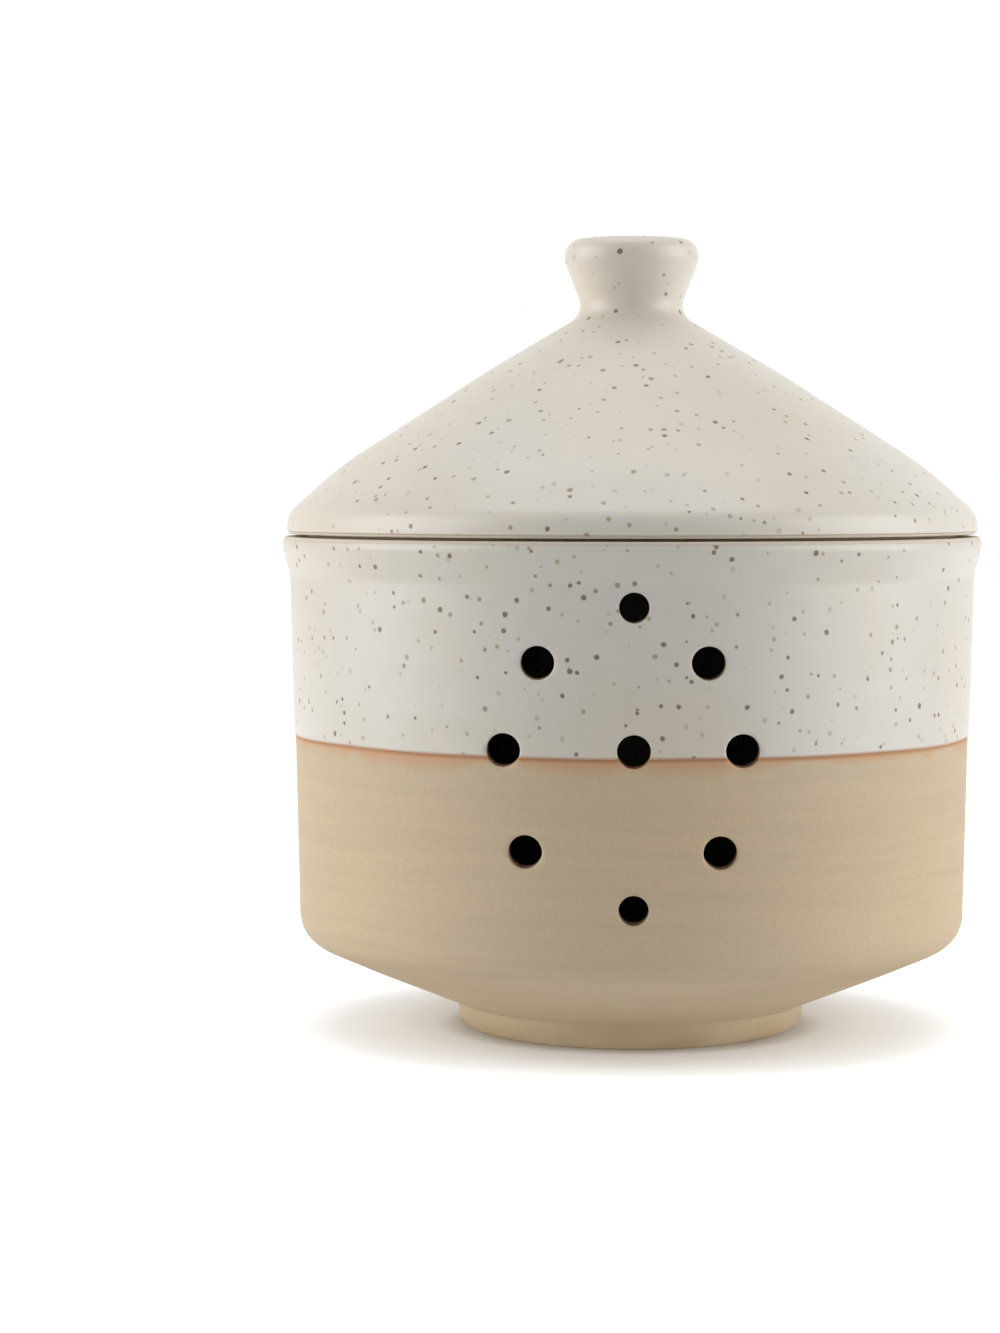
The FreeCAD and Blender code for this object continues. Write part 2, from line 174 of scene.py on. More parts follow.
class KeeperShape(bpy.types.PropertyGroup):
    """Sizes of the coat of glaze and of the potter's marks."""

    coat: FloatProperty(
        name="Coat",
        description="Thickness of the glaze",
        default=0.3 * MM,
        min=0.05 * MM,
        max=0.6 * MM,
        unit="LENGTH",
        precision=5,
    )
    glaze_line: FloatProperty(
        name="Glaze line",
        description="Height at which the glaze outside the pot stops",
        default=GLAZE_LINE,
        unit="LENGTH",
        precision=4,
    )
    line_wander: FloatProperty(
        name="Line wander",
        description="How far the glaze line strays up and down",
        default=0.22 * MM,
        unit="LENGTH",
        precision=5,
    )
    ring_depth: FloatProperty(
        name="Ring depth",
        description="Depth of the throwing rings under the glaze",
        default=0.06 * MM,
        unit="LENGTH",
        precision=5,
    )
    vent_radius: FloatProperty(
        name="Vent radius",
        description="Radius of the vents",
        default=2.9 * MM,
        unit="LENGTH",
        precision=4,
    )
    end_vent_radius: FloatProperty(
        name="End vent radius",
        description="Radius of the highest and the lowest vent",
        default=2.6 * MM,
        unit="LENGTH",
        precision=4,
    )


class KeeperFinish(bpy.types.PropertyGroup):
    """Colours and gloss of the glaze and of the bare clay."""

    glaze_colour: FloatVectorProperty(
        name="Glaze colour",
        description="Colour of the glaze away from its edges",
        subtype="COLOR",
        size=3,
        min=0.0,
        max=1.0,
        default=(0.66, 0.63, 0.575),
    )
    lid_colour: FloatVectorProperty(
        name="Lid colour",
        description="Colour of the glaze on the lid, a little paler than the pot's",
        subtype="COLOR",
        size=3,
        min=0.0,
        max=1.0,
        default=(0.69, 0.648, 0.578),
    )
    ochre_colour: FloatVectorProperty(
        name="Ochre colour",
        description="Colour of the paler specks in the glaze",
        subtype="COLOR",
        size=3,
        min=0.0,
        max=1.0,
        default=(0.36, 0.285, 0.14),
    )
    speck_colour: FloatVectorProperty(
        name="Speck colour",
        description="Colour of the iron specks in the glaze",
        subtype="COLOR",
        size=3,
        min=0.0,
        max=1.0,
        default=(0.145, 0.098, 0.042),
    )
    clay_colour: FloatVectorProperty(
        name="Clay colour",
        description="Colour of the bare stoneware",
        subtype="COLOR",
        size=3,
        min=0.0,
        max=1.0,
        default=(0.61, 0.50, 0.352),
    )
    toast_colour: FloatVectorProperty(
        name="Toast colour",
        description="Colour of the clay where it is flashed beside the glaze",
        subtype="COLOR",
        size=3,
        min=0.0,
        max=1.0,
        default=(0.60, 0.33, 0.18),
    )
    glaze_roughness: FloatProperty(
        name="Glaze roughness",
        description="Roughness of the glaze",
        default=0.38,
        min=0.0,
        max=1.0,
        subtype="FACTOR",
    )


def settings():
    """The shape and the finish that the scene holds."""
    scene = bpy.context.scene
    return scene.keeper_shape, scene.keeper_finish


def rounded(corners, step):
    """Polyline (radius, height) through the corners, in metres, from corners in millimetres.

    A corner with a round is replaced by an arc tangent to its two sides: with h half the angle
    between the sides, the arc starts round / tan(h) before the corner, and its centre lies
    round / sin(h) from the corner along the bisector. Arcs and sides are cut into pieces
    no longer than the step, and arcs also into at least eight.
    """
    spots = [np.array(corner[:2], float) for corner in corners]
    line = [spots[0]]
    for before, spot, after, corner in zip(spots, spots[1:], spots[2:], corners[1:]):
        if len(corner) < 3:
            line.append(spot)
            continue
        turn = corner[2]
        back = (before - spot) / np.linalg.norm(before - spot)
        ahead = (after - spot) / np.linalg.norm(after - spot)
        half = math.acos(np.clip(back @ ahead, -1, 1)) / 2
        bisector = (back + ahead) / np.linalg.norm(back + ahead)
        centre = spot + bisector * turn / math.sin(half)
        entry = spot + back * turn / math.tan(half) - centre
        leave = spot + ahead * turn / math.tan(half) - centre
        first = math.atan2(entry[1], entry[0])
        sweep = (math.atan2(leave[1], leave[0]) - first + math.pi) % TURN - math.pi
        pieces = max(LEAST_ARC_PIECES, math.ceil(abs(sweep) * turn / step))
        angles = first + sweep * np.linspace(0, 1, pieces + 1)
        line.extend(centre + turn * np.stack([np.cos(angles), np.sin(angles)], 1))
    line.append(spots[-1])
    dense = [np.array(line[:1])]
    for start, end in zip(line, line[1:]):
        pieces = max(1, math.ceil(np.linalg.norm(end - start) / step))
        shares = np.linspace(0, 1, pieces + 1)[1:, None]
        dense.append(start + (end - start) * shares)
    points = np.concatenate(dense)
    kept = np.r_[True, np.linalg.norm(np.diff(points, axis=0), axis=1) > SAME_POINT]
    return points[kept] * MM


def normals_of(profile):
    """Unit normals of a polyline, to the right of its direction of travel."""
    along = np.gradient(profile, axis=0)
    along /= np.linalg.norm(along, axis=1, keepdims=True)
    return np.stack([along[:, 1], -along[:, 0]], 1)


def turned_mesh(name, radii, heights, closed):
    """Surface of revolution from grids of radius and height, one row a profile point.

    The point of row i and column j is (r cos a, r sin a, z) with a = j turns / columns.
    An open profile starts and ends on the axis, where a row is one point; a closed one
    joins its last row to its first. Quads join neighbouring rows and columns.
    """
    rows, columns = radii.shape
    angles = np.arange(columns) / columns * TURN
    points = np.stack([radii * np.cos(angles), radii * np.sin(angles), heights], 2)
    ahead = np.roll(np.arange(columns), -1)
    number = np.arange(rows * columns).reshape(rows, columns)
    if closed:
        lower, upper = number, np.roll(number, -1, axis=0)
        verts = points.reshape(-1, 3)
    else:
        number = number[1:-1] - columns + 1
        lower, upper = number[:-1], number[1:]
        ends = points[[0, -1]].mean(axis=1)
        verts = np.concatenate([ends[:1], points[1:-1].reshape(-1, 3), ends[1:]])
    quads = np.stack([lower, lower[:, ahead], upper[:, ahead], upper], 2).reshape(-1, 4)
    faces = quads.tolist()
    if not closed:
        last = np.full(columns, len(verts) - 1)
        fans = [
            np.stack([np.zeros(columns, int), number[0][ahead], number[0]], 1),
            np.stack([last, number[-1], number[-1][ahead]], 1),
        ]
        faces += np.concatenate(fans).tolist()
    mesh = bpy.data.meshes.new(name)
    mesh.from_pydata(verts.tolist(), [], faces)
    mesh.update()
    return mesh


def place(name, mesh, body, nodes, material):
    """Piece from a mesh, smooth but for its sharp edges, on its body and in its nodes' place."""
    piece = bpy.data.objects.new(name, mesh)
    bpy.context.scene.collection.objects.link(piece)
    mesh.polygons.foreach_set("use_smooth", np.ones(len(mesh.polygons), bool))
    mesh.set_sharp_from_angle(angle=SHARP_ANGLE)
    mesh.materials.clear()
    mesh.materials.append(material)
    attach(piece, body)
    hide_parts(*nodes)
    return piece


def line_waves(shape):
    """How far the glaze line strays from its height round the pot: a sum of three sines."""
    waves = sum(share * np.sin(count * ANGLES + phase) for count, phase, share in LINE_WAVES)
    return shape.line_wander * waves[None]


def throwing_rings(heights, shape):
    """How far the wall is drawn in by the potter's fingers, never outwards.

    Three sets of shallow rings that climb a little with the angle, each a sine of the
    height, added up and brought between zero and the ring depth.
    """
    rings = sum(
        share * np.sin(TURN * (heights / (spacing * MM) + climbs * ANGLES[None] / TURN) + phase)
        for spacing, climbs, phase, share in RINGS
    )
    total = sum(share for *_, share in RINGS)
    return shape.ring_depth * (rings / (2.0 * total) - 0.5)


def turned_piece(name, profile, shape, marks=None):
    """Mesh turned from a profile from axis to axis, drawn in by the rings where it is marked."""
    push = np.zeros((len(profile), SIDES))
    if marks is not None:
        push = throwing_rings(profile[:, 1:], shape) * marks[:, None]
    outward = normals_of(profile)
    radii = profile[:, :1] + outward[:, :1] * push
    heights = profile[:, 1:] + outward[:, 1:] * push
    return turned_mesh(name, radii, heights, False)


def bead(share):
    """Quarter round: from 0 to 1 as the square root of 1 - (1 - share) squared."""
    return np.sqrt(1.0 - (1.0 - np.clip(share, 0.0, 1.0)) ** 2)


def skin(clay, outer):
    """Outline, normals and push of a coat: up outside the clay, and back down inside it."""
    outward = normals_of(clay)
    base = np.concatenate([clay, clay[::-1]])
    outward = np.concatenate([outward, outward[::-1]])
    return base, outward, np.concatenate([outer, np.full_like(outer, -COAT_SINK)])


def lining(name, corners, away, shape):
    """Closed skin: along the corners' outline, and back along it moved off by the coat."""
    clay = rounded(corners, CLAY_STEP)
    free = clay + np.array(away) * shape.coat
    free[0, 1] = clay[0, 1]
    free[:, 0] = np.maximum(free[:, 0], 0.0)
    free[-1, 0] = 0.0
    profile = np.concatenate([free[::-1], clay])
    radii, heights = (np.tile(profile[:, [axis]], SIDES) for axis in (0, 1))
    return turned_mesh(name, radii, heights, False)


def vent_places(shape):
    """Across, height and radius of each vent: the record's boxes, and the two at the ends."""
    boxes = {item["name"]: item["box_m"] for item in frame["record"]["physics"]["openings"]}
    middles = {
        name: [(low + high) / 2 for low, high in zip(*corners)]
        for name, corners in boxes.items() if name.startswith("vent")
    }
    places = [(spot[0], spot[2], shape.vent_radius) for spot in middles.values()]
    across, _, height = middles["vent_centre"]
    places.append((across, height + TOP_VENT_RISE, shape.end_vent_radius))
    places.append((across, height - BOTTOM_VENT_DROP, shape.end_vent_radius))
    return places


def wall_radius(heights, extra=0.0):
    """Radius of the pot's straight wall at some heights, with an extra thickness on it."""
    foot, top = UNDERSIDE[-1], WALL_AND_LIP[0]
    share = (heights / MM - foot[1]) / (top[1] - foot[1])
    return (foot[0] + (top[0] - foot[0]) * share) * MM + extra


def vent_cutter(shape, extra, softening):
    """Nine plugs to cut the vents with, each a circle swept along Y.

    A plug's rings lie at chosen depths below the wall's own surface, so that its mouth
    follows the curve: a point at angle a and distance q from the middle has
    x = across + q cos a, z = height + q sin a, y = depth - sqrt(R(z)^2 - x^2).
    """
    angles = np.arange(VENT_SIDES) / VENT_SIDES * TURN
    depths, widths = np.array(PLUG_RINGS).T[:, :, None]
    verts, faces = [], []
    for across, height, radius in vent_places(shape):
        reach = radius + widths * softening
        x = across + reach * np.cos(angles)
        z = height + reach * np.sin(angles)
        y = depths * MM - np.sqrt(wall_radius(z, extra) ** 2 - x ** 2)
        start = len(verts)
        verts += np.stack([x, y, z], 2).reshape(-1, 3).tolist()
        number = start + np.arange(x.size).reshape(x.shape)
        ahead = np.roll(number, -1, axis=1)
        sides = [number[:-1], number[1:], ahead[1:], ahead[:-1]]
        faces += np.stack(sides, 2).reshape(-1, 4).tolist()
        faces += [number[0].tolist(), number[-1][::-1].tolist()]
    mesh = bpy.data.meshes.new("vent_cutter")
    mesh.from_pydata(verts, [], faces)
    mesh.update()
    return mesh


def cut_vents(mesh, cutter):
    """The mesh with the cutter's plugs taken out of it."""
    scene = bpy.context.scene.collection
    target = bpy.data.objects.new("vent_target", mesh)
    tool = bpy.data.objects.new("vent_tool", cutter)
    scene.objects.link(target)
    scene.objects.link(tool)
    boolean = target.modifiers.new("vents", "BOOLEAN")
    boolean.operation = "DIFFERENCE"
    boolean.solver = "EXACT"
    boolean.object = tool
    evaluated = target.evaluated_get(bpy.context.evaluated_depsgraph_get())
    cut = bpy.data.meshes.new_from_object(evaluated)
    cut.name = mesh.name
    bpy.data.objects.remove(target)
    bpy.data.objects.remove(tool)
    bpy.data.meshes.remove(cutter)
    if len(cut.vertices) == len(mesh.vertices):
        raise RuntimeError(f"the vents cut nothing out of {mesh.name}")
    bpy.data.meshes.remove(mesh)
    return cut


class Finish:
    """Material under construction: node helpers that keep the finishes below short."""

    def __init__(self, name):
        self.material = bpy.data.materials.new(name)
        self.material.use_nodes = True
        self.tree = self.material.node_tree
        self.surface = self.tree.nodes["Principled BSDF"]
        coordinates = self.tree.nodes.new("ShaderNodeTexCoord")
        self.spot = coordinates.outputs["Object"]
        self.axes = self.node("ShaderNodeSeparateXYZ", {0: self.spot}).outputs

    def node(self, kind, inputs, **values):
        """New node with its own values, and each input linked or set."""
        made = self.tree.nodes.new(kind)
        for key, value in values.items():
            setattr(made, key, value)
        for key, value in inputs.items():
            self.feed(made.inputs[key], value)
        return made

    def feed(self, socket, value):
        """Link an output to a socket, or set the socket's value."""
        if isinstance(value, bpy.types.NodeSocket):
            self.tree.links.new(value, socket)
        else:
            socket.default_value = value

    def set(self, **values):
        """Set sockets of the surface, named with lines for spaces."""
        for key, value in values.items():
            self.surface.inputs[key.replace("_", " ")].default_value = value

    def math(self, operation, *values):
        """Result of a math node."""
        return self.node("ShaderNodeMath", dict(enumerate(values)), operation=operation).outputs[0]

    def ramp(self, value, low, high, start=0.0, end=1.0):
        """Value from low to high brought smoothly to start and end."""
        inputs = {"Value": value, 1: low, 2: high, 3: start, 4: end}
        made = self.node("ShaderNodeMapRange", inputs, interpolation_type="SMOOTHSTEP")
        return made.outputs["Result"]

    def mix(self, share, first, second):
        """Colour that goes from first to second with the share."""
        inputs = {0: share, 6: first, 7: second}
        return self.node("ShaderNodeMix", inputs, data_type="RGBA").outputs[2]

    def noise(self, scale, detail=2.0, roughness=0.5, stretch=(1, 1, 1), offset=(0, 0, 0)):
        """Soft noise on the object's own coordinates, in features a metre."""
        inputs = {"Vector": self.spot, "Location": offset, "Scale": stretch}
        spot = self.node("ShaderNodeMapping", inputs).outputs["Vector"]
        inputs = {"Vector": spot, "Scale": scale, "Detail": detail, "Roughness": roughness}
        return self.node("ShaderNodeTexNoise", inputs).outputs[0]

    def bump(self, height, strength, distance):
        """Give the surface small bumps of a height in metres."""
        inputs = {"Height": height, "Strength": strength, "Distance": distance}
        made = self.node("ShaderNodeBump", inputs)
        self.feed(self.surface.inputs["Normal"], made.outputs["Normal"])

    def specks(self, spacing, radius, softness, seed):
        """Round specks: 1 within a radius that differs from cell to cell, 0 outside."""
        inputs = {"Vector": self.spot, "Location": (seed, -seed, 0.5 * seed)}
        shifted = self.node("ShaderNodeMapping", inputs).outputs["Vector"]
        wobble = self.noise(900.0, detail=1.0)
        cells = self.node("ShaderNodeTexVoronoi", {"Vector": shifted, "Scale": 1.0 / spacing})
        luck = self.node("ShaderNodeSeparateColor", {0: cells.outputs["Color"]}).outputs
        size = self.ramp(luck[0], 0.0, 1.0, 0.7, 1.0)
        size = self.math("MULTIPLY", size, self.ramp(wobble, 0.3, 0.7, 0.9, 1.1))
        reach = self.math("MULTIPLY", size, radius / spacing)
        edge = self.math("SUBTRACT", reach, cells.outputs["Distance"])
        mask = self.ramp(edge, 0.0, softness / spacing)
        return self.math("MULTIPLY", mask, self.ramp(luck[1], 0.05, 0.75, 0.3, 1.0))

    def axis_distance(self):
        """Distance from the Z axis: the root of x squared and y squared added up."""
        squares = [self.math("POWER", self.axes[axis], 2.0) for axis in "XY"]
        return self.math("SQRT", self.math("ADD", *squares))

    def over(self, level):
        """Height above a level."""
        return self.math("SUBTRACT", self.axes["Z"], level)

    def under(self, level):
        """Depth below a level."""
        return self.math("SUBTRACT", level, self.axes["Z"])

    def line_distance(self, shape):
        """Height above the glaze line, with the same three waves as the glaze's edge."""
        angle = self.math("ARCTAN2", self.axes["Y"], self.axes["X"])
        height = self.over(shape.glaze_line)
        for count, phase, share in LINE_WAVES:
            wave = self.math("SINE", self.math("MULTIPLY_ADD", angle, count, phase))
            wave = self.math("MULTIPLY", wave, share * shape.line_wander)
            height = self.math("SUBTRACT", height, wave)
        return height


def tint(colour, shares=1.0):
    """Colour times one share, or times one for each channel, with full alpha."""
    return (*np.multiply(tuple(colour), shares).tolist(), 1.0)


def glaze_material(name, finish, base, edges):
    """Satin off-white glaze with iron and ochre specks, toasted where it thins at its edges.

    Each edge is a function that gives the distance from it, the width over which the
    glaze thins out there, and how strong the toast is.
    """
    make = Finish(name)
    cloud = make.ramp(make.noise(28.0, detail=3.0), 0.35, 0.7)
    colour = make.mix(cloud, tint(base), tint(base, WARM_GLAZE))
    fine = make.ramp(make.noise(160.0, detail=4.0, roughness=0.6), 0.35, 0.75, 0.0, 0.12)
    colour = make.mix(fine, colour, tint(base, 0.8))
    ochre, iron = make.specks(**OCHRE_SPECKS), make.specks(**IRON_SPECKS)
    colour = make.mix(make.math("MULTIPLY", ochre, 0.9), colour, tint(finish.ochre_colour))
    colour = make.mix(make.math("MULTIPLY", iron, 0.92), colour, tint(finish.speck_colour))
    for distance, width, strength in edges:
        thin = make.ramp(distance(make), 0.0, width, strength, 0.0)
        colour = make.mix(thin, colour, tint(finish.toast_colour, 0.75))
    make.feed(make.surface.inputs["Base Color"], colour)
    make.set(Roughness=finish.glaze_roughness, IOR=1.42, Coat_Weight=0.12, Coat_Roughness=0.24)
    ripple = make.noise(220.0, detail=3.0, roughness=0.55)
    pits = make.math("MULTIPLY_ADD", make.math("MAXIMUM", ochre, iron), -0.35, ripple)
    make.bump(pits, 0.12, 0.05 * MM)
    return make.material


def flashed(make, colour, finish, shape):
    """Colour of the clay, toasted in a ragged halo at the glaze line and darker at its brink."""
    away = make.math("ABSOLUTE", make.line_distance(shape))
    blush = make.noise(45.0, detail=3.0, roughness=0.55, offset=(0.2, 0.9, 0.3))
    reach = make.ramp(blush, 0.35, 0.66, 0.8 * MM, 4.2 * MM)
    halo = make.ramp(make.math("DIVIDE", away, reach), 0.0, 1.0, 0.8, 0.0)
    colour = make.mix(halo, colour, tint(finish.toast_colour))
    brink = make.ramp(away, 0.1 * MM, 0.75 * MM, 0.7, 0.0)
    return make.mix(brink, colour, tint(finish.toast_colour, BRINK_TOAST))


def foot_and_film(make, colour, finish):
    """Colour of the clay, darker in patches on the foot, and pale where glaze runs on the rim."""
    flame = make.noise(60.0, offset=(0.7, 0.3, 0.1))
    flame = make.ramp(flame, 0.35, 0.65, 0.3, 1.0)
    low = make.ramp(make.axes["Z"], 1.0 * MM, 5.5 * MM, 0.5, 0.0)
    colour = make.mix(make.math("MULTIPLY", flame, low), colour,
                      tint(finish.clay_colour, FOOT_CLAY))
    outer = make.ramp(make.axis_distance(), *FILM_RADII, 0.0, 0.65)
    high = make.ramp(make.axes["Z"], *(RIM - depth for depth in FILM_DEPTHS))
    return make.mix(make.math("MULTIPLY", outer, high), colour, tint(finish.lid_colour))


def clay_material(name, finish, shape):
    """Bare stoneware: fine-grained and matt, turned in faint level lines, toasted by the glaze."""
    make = Finish(name)
    clay = finish.clay_colour
    lines = make.noise(18.0, detail=4.0, roughness=0.6, stretch=(1.0, 1.0, 22.0))
    broad = make.noise(22.0, detail=3.0, roughness=0.55, offset=(0.4, 0.1, 0.7))
    grain = make.noise(1400.0, roughness=0.6)
    specks = make.math("MULTIPLY", make.specks(**CLAY_SPECKS), 0.4)
    colour = make.mix(make.ramp(broad, 0.3, 0.72), tint(clay), tint(clay, PALE_CLAY))
    colour = make.mix(make.ramp(lines, 0.35, 0.75, 0.0, 0.22), colour, tint(clay, 0.72))
    colour = make.mix(make.ramp(grain, 0.3, 0.75, 0.0, 0.16), colour, tint(clay, 0.6))
    colour = make.mix(specks, colour, tint(clay, 0.45))
    colour = flashed(make, colour, finish, shape)
    colour = foot_and_film(make, colour, finish)
    make.feed(make.surface.inputs["Base Color"], colour)
    make.set(Roughness=0.62, IOR=1.45, Specular_IOR_Level=0.2)
    height = make.math("ADD", make.math("MULTIPLY", lines, 0.6),
                       make.math("MULTIPLY", grain, 0.4))
    make.bump(height, 0.35, 0.12 * MM)
    return make.material


class KEEPER_OT_pot_clay(bpy.types.Operator):
    """Turn the pot's clay: foot, underside, wall, lip, rim and floor, with its vents"""

    bl_idname = "keeper.pot_clay"
    bl_label = "Pot Clay"

    def execute(self, context):
        shape, finish = settings()
        profile = rounded(UNDERSIDE + WALL_AND_LIP + RIM_EDGES + POT_INSIDE, CLAY_STEP)
        radius, height = profile.T
        low, high = RINGED_HEIGHTS
        wall = (radius > RINGED_FROM_RADIUS) & (height > low) & (height < high)
        mesh = turned_piece("pot_clay", profile, shape, wall.astype(float))
        mesh = cut_vents(mesh, vent_cutter(shape, 0.0, CLAY_SOFTENING))
        material = clay_material("bare_stoneware", finish, shape)
        place("pot_clay", mesh, "pot", ["pot_body"], material)
        return {"FINISHED"}


class KEEPER_OT_pot_glaze(bpy.types.Operator):
    """Coat the pot's outside above the glaze line, and its inside"""

    bl_idname = "keeper.pot_glaze"
    bl_label = "Pot Glaze"

    def execute(self, context):
        shape, finish = settings()
        self.coat_outside(shape, finish)
        self.coat_inside(shape, finish)
        return {"FINISHED"}

    def coat_outside(self, shape, finish):
        """Skin on the wall and lip, whose lower edge is round and follows the glaze line.

        It stands off the clay by the coat times a bead at either edge, less the rings,
        and its rows near the glaze line are lifted by the line's waves.
        """
        clay = self.outside_outline(shape)
        above = clay[:, 1:] - shape.glaze_line
        below = POT_COAT_TOP - clay[:, 1:]
        steady = np.clip(below / LIP_CALM, 0.0, 1.0)
        thickness = shape.coat * bead(np.minimum(above / LINE_BEAD, below / LIP_BEAD))
        rings = throwing_rings(clay[:, 1:], shape) * steady
        outer = thickness - LIP_THINNING * (1.0 - steady) + rings
        lift = line_waves(shape) * np.clip(1.0 - above / LINE_FADE, 0.0, 1.0)
        base, outward, push = skin(clay, outer)
        radii = base[:, :1] + outward[:, :1] * push
        heights = base[:, 1:] + np.concatenate([lift, lift[::-1]])
        mesh = turned_mesh("pot_glaze", radii, heights, True)
        mesh = cut_vents(mesh, vent_cutter(shape, shape.coat, COAT_SOFTENING))
        edges = [
            (lambda make: make.line_distance(shape), 0.7 * MM, 0.95),
            (lambda make: make.under(POT_COAT_TOP), 0.4 * MM, 0.4),
        ]
        material = glaze_material("pot_glaze", finish, finish.glaze_colour, edges)
        place("pot_glaze", mesh, "pot", ["pot_outer_glaze"], material)

    def outside_outline(self, shape):
        """Outline of the clay from the glaze line to the top of the coat, fine at its start."""
        span, step = POT_EDGE_ROWS
        start, near = (
            (wall_radius(height) / MM, height / MM)
            for height in (shape.glaze_line, shape.glaze_line + span * MM)
        )
        end = (WALL_AND_LIP[-1][0], POT_COAT_TOP / MM)
        fine = rounded([start, near], step)
        rest = rounded([near] + WALL_AND_LIP + [end], COAT_STEP)
        return np.concatenate([fine, rest[1:]])

    def coat_inside(self, shape, finish):
        """Lining of the pot, a closed skin just off the clay's own outline."""
        low, high = POT_INSIDE[0], RIM_EDGES[-1]
        top = LINING_TOP / MM
        share = (top - low[1]) / (high[1] - low[1])
        edge = (low[0] + (high[0] - low[0]) * share, top)
        mesh = lining("pot_lining", [edge] + POT_INSIDE, (-1.0, 1.0), shape)
        mesh = cut_vents(mesh, vent_cutter(shape, 0.0, COAT_SOFTENING))
        edges = [(lambda make: make.under(LINING_TOP), 0.8 * MM, 0.6)]
        material = glaze_material("pot_lining", finish, finish.glaze_colour, edges)
        place("pot_lining", mesh, "pot", ["pot_inner_glaze"], material)


class KEEPER_OT_lid_clay(bpy.types.Operator):
    """Turn the lid's clay: slope, knob, seat and the flange below it"""

    bl_idname = "keeper.lid_clay"
    bl_label = "Lid Clay"

    def execute(self, context):
        shape, finish = settings()
        corners = LID_INSIDE[::-1] + FLANGE[::-1] + SEAT + LID_OUTSIDE
        mesh = turned_piece("lid_clay", rounded(corners, CLAY_STEP), shape)
        material = clay_material("lid_stoneware", finish, shape)
        place("lid_clay", mesh, "lid", ["lid_body"], material)
        return {"FINISHED"}


class KEEPER_OT_lid_glaze(bpy.types.Operator):
    """Coat the lid and its knob, and the hollow under the lid"""

    bl_idname = "keeper.lid_glaze"
    bl_label = "Lid Glaze"

    def execute(self, context):
        shape, finish = settings()
        self.coat_outside(shape, finish)
        self.coat_hollow(shape, finish)
        return {"FINISHED"}

    def coat_outside(self, shape, finish):
        """Skin on the slope and knob, with a round lower edge above the bare seat.

        It stands off the clay by the coat times a bead at its edge, less the rings, which
        fade out towards the edge and the knob. Rolled by half its rows, the outline runs
        from the axis inside the clay to the axis outside it.
        """
        span, step = LID_EDGE_ROWS
        edge, foot = LID_OUTSIDE[0][0], LID_COAT_FOOT / MM
        fine = rounded([(edge, foot), (edge, foot + span)], step)
        rest = rounded([(edge, foot + span)] + LID_OUTSIDE, COAT_STEP)
        clay = np.concatenate([fine, rest[1:]])
        radius, above = clay[:, :1], clay[:, 1:] - LID_COAT_FOOT
        low, high = KNOB_CALM
        reach = np.clip(above / LID_CALM, 0.0, 1.0)
        reach = reach * np.clip((radius - low) / (high - low), 0.0, 1.0)
        rings = throwing_rings(SLOPE_SHARE * radius + clay[:, 1:], shape) * reach
        base, outward, push = skin(clay, shape.coat * bead(above / LID_BEAD) + rings)
        radii = np.roll(base[:, :1] + outward[:, :1] * push, len(clay), axis=0)
        heights = np.roll(base[:, 1:] + outward[:, 1:] * push, len(clay), axis=0)
        radii[[0, -1]] = 0.0
        mesh = turned_mesh("lid_glaze", radii, heights, False)
        edges = [(lambda make: make.over(LID_COAT_FOOT), 0.4 * MM, 0.4)]
        material = glaze_material("lid_glaze", finish, finish.lid_colour, edges)
        place("lid_glaze", mesh, "lid", ["lid_outer_glaze"], material)

    def coat_hollow(self, shape, finish):
        """Lining of the lid's hollow, from the bare foot of the flange up."""
        foot = (LID_INSIDE[0][0], HOLLOW_COAT_FOOT / MM)
        mesh = lining("lid_lining", [foot] + LID_INSIDE, (-1.0, -1.0), shape)
        edges = [(lambda make: make.over(HOLLOW_COAT_FOOT), 0.8 * MM, 0.6)]
        material = glaze_material("lid_lining", finish, finish.lid_colour, edges)
        place("lid_lining", mesh, "lid", ["lid_inner_glaze"], material)


def background_rays(tree):
    """One for rays from the camera, off a gloss or through a glass, and zero for the rest."""
    path = tree.nodes.new("ShaderNodeLightPath")
    rays = path.outputs["Is Camera Ray"]
    for name in ("Is Glossy Ray", "Is Transmission Ray"):
        either = tree.nodes.new("ShaderNodeMath")
        either.operation = "MAXIMUM"
        tree.links.new(rays, either.inputs[0])
        tree.links.new(path.outputs[name], either.inputs[1])
        rays = either.outputs[0]
    return rays


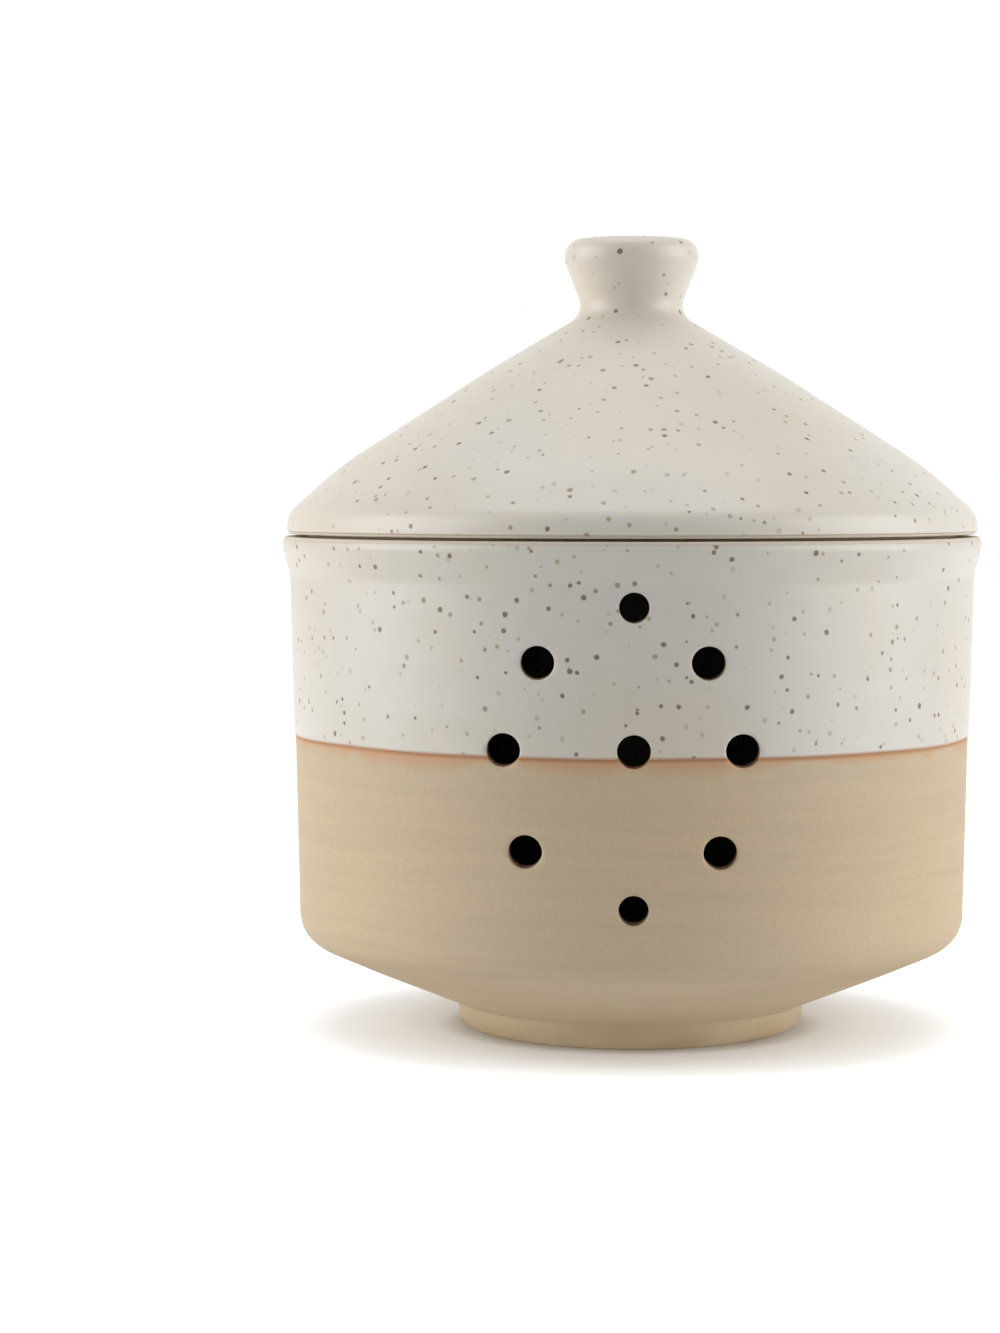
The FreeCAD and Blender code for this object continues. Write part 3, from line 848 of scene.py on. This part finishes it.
class KEEPER_OT_stage(bpy.types.Operator):
    """Set the camera, the lamps, the world and the pale floor"""

    bl_idname = "keeper.stage"
    bl_label = "Studio"

    def execute(self, context):
        self.add_camera(context.scene)
        for name, lamp in LAMPS.items():
            self.add_lamp(context.scene, name, *lamp)
        self.add_world(context.scene)
        self.add_floor(context.scene)
        context.scene.view_settings.view_transform = "Standard"
        return {"FINISHED"}

    def add_camera(self, scene):
        """Camera at the photograph's height, distance and angle."""
        data = bpy.data.cameras.new("camera")
        data.sensor_width = CAMERA_SENSOR
        data.lens = CAMERA_LENS
        camera = bpy.data.objects.new("camera", data)
        camera.location = (0.0, -CAMERA_DISTANCE, CAMERA_HEIGHT)
        camera.rotation_euler = (
            math.radians(90.0 - CAMERA_PITCH), 0.0, math.radians(CAMERA_YAW))
        scene.collection.objects.link(camera)
        scene.camera = camera

    def add_lamp(self, scene, name, spot, target, width, height, power):
        """Rectangular softbox that faces its target."""
        data = bpy.data.lights.new(name, "AREA")
        data.shape = "RECTANGLE"
        data.size = width
        data.size_y = height
        data.energy = power
        lamp = bpy.data.objects.new(name, data)
        lamp.location = spot
        direction = Vector(target) - Vector(spot)
        lamp.rotation_euler = direction.to_track_quat("-Z", "Y").to_euler()
        scene.collection.objects.link(lamp)

    def add_world(self, scene):
        """Faint light all round, and white where the camera or a reflection looks past it."""
        world = bpy.data.worlds.new("studio")
        world.use_nodes = True
        scene.world = world
        tree = world.node_tree
        background = tree.nodes["Background"]
        strength = tree.nodes.new("ShaderNodeMapRange")
        strength.inputs["To Min"].default_value = WORLD_LIGHT
        strength.inputs["To Max"].default_value = 1.0
        tree.links.new(background_rays(tree), strength.inputs["Value"])
        tree.links.new(strength.outputs["Result"], background.inputs["Strength"])
        background.inputs["Color"].default_value = WHITE

    def add_floor(self, scene):
        """Pale floor, seen white but for the object's shadow, that lights it from below a little.

        What the camera and reflections see of it glows from a little way out of the foot on. The
        glow fading out towards the foot paints a shadow: a dark contact line and its fade, over
        the real shadow. Other rays find a weaker glow near the foot alone.
        """
        mesh = bpy.data.meshes.new("floor")
        corners = [(x * FLOOR_REACH, y * FLOOR_REACH, 0.0)
                   for x, y in ((-1, -1), (1, -1), (1, 1), (-1, 1))]
        mesh.from_pydata(corners, [], [(0, 1, 2, 3)])
        floor = bpy.data.objects.new("floor", mesh)
        scene.collection.objects.link(floor)
        make = Finish("floor")
        make.set(Base_Color=FLOOR_COLOUR, Roughness=FLOOR_ROUGHNESS, Specular_IOR_Level=0.0)
        away = make.node("ShaderNodeVectorMath", {0: make.spot}, operation="LENGTH")
        away = away.outputs["Value"]
        # Painted shadow: both glows fall to nothing towards the foot, so the floor the camera sees
        # darkens round the object
        glow = [make.ramp(away, low, high, 0.0, strength)
                for low, high, strength in (FLOOR_GLOW_PAINTED_CONTACT_SHADOW, FLOOR_GLOW_PAINTED_SHADOW_FADE)]
        seen = make.node("ShaderNodeEmission", {"Strength": make.math("ADD", *glow)})
        low, high, strength = FLOOR_BOUNCE
        bounce = make.ramp(away, low, high, strength, 0.0)
        unseen = make.node("ShaderNodeEmission", {"Strength": bounce})
        inputs = {0: background_rays(make.tree), 1: unseen.outputs[0], 2: seen.outputs[0]}
        either = make.node("ShaderNodeMixShader", inputs)
        lit = make.node("ShaderNodeAddShader", {0: make.surface.outputs[0], 1: either.outputs[0]})
        output = make.tree.nodes["Material Output"]
        make.tree.links.new(lit.outputs[0], output.inputs["Surface"])
        mesh.materials.append(make.material)


class KEEPER_PT_panel(bpy.types.Panel):
    """Buttons for each step and the values that they use"""

    bl_label = "Garlic Keeper"
    bl_space_type = "VIEW_3D"
    bl_region_type = "UI"
    bl_category = "Keeper"

    def draw(self, context):
        column = self.layout.column(align=True)
        for step in STEPS:
            column.operator(step.bl_idname)
        for group in (context.scene.keeper_shape, context.scene.keeper_finish):
            box = self.layout.box()
            for name in group.__annotations__:
                box.prop(group, name)


STEPS = (
    KEEPER_OT_stage,
    KEEPER_OT_pot_clay,
    KEEPER_OT_pot_glaze,
    KEEPER_OT_lid_clay,
    KEEPER_OT_lid_glaze,
)
CLASSES = (KeeperShape, KeeperFinish, *STEPS, KEEPER_PT_panel)


def register():
    """Add the classes and the scene's two groups of values."""
    for each in CLASSES:
        bpy.utils.register_class(each)
    bpy.types.Scene.keeper_shape = PointerProperty(type=KeeperShape)
    bpy.types.Scene.keeper_finish = PointerProperty(type=KeeperFinish)


def unregister():
    """Take the groups of values and the classes away again."""
    del bpy.types.Scene.keeper_finish
    del bpy.types.Scene.keeper_shape
    for each in reversed(CLASSES):
        bpy.utils.unregister_class(each)


def main():
    """Build the studio and the object."""
    register()
    for step in STEPS:
        group, action = step.bl_idname.split(".")
        getattr(getattr(bpy.ops, group), action)()


if __name__ == "__main__":
    main()
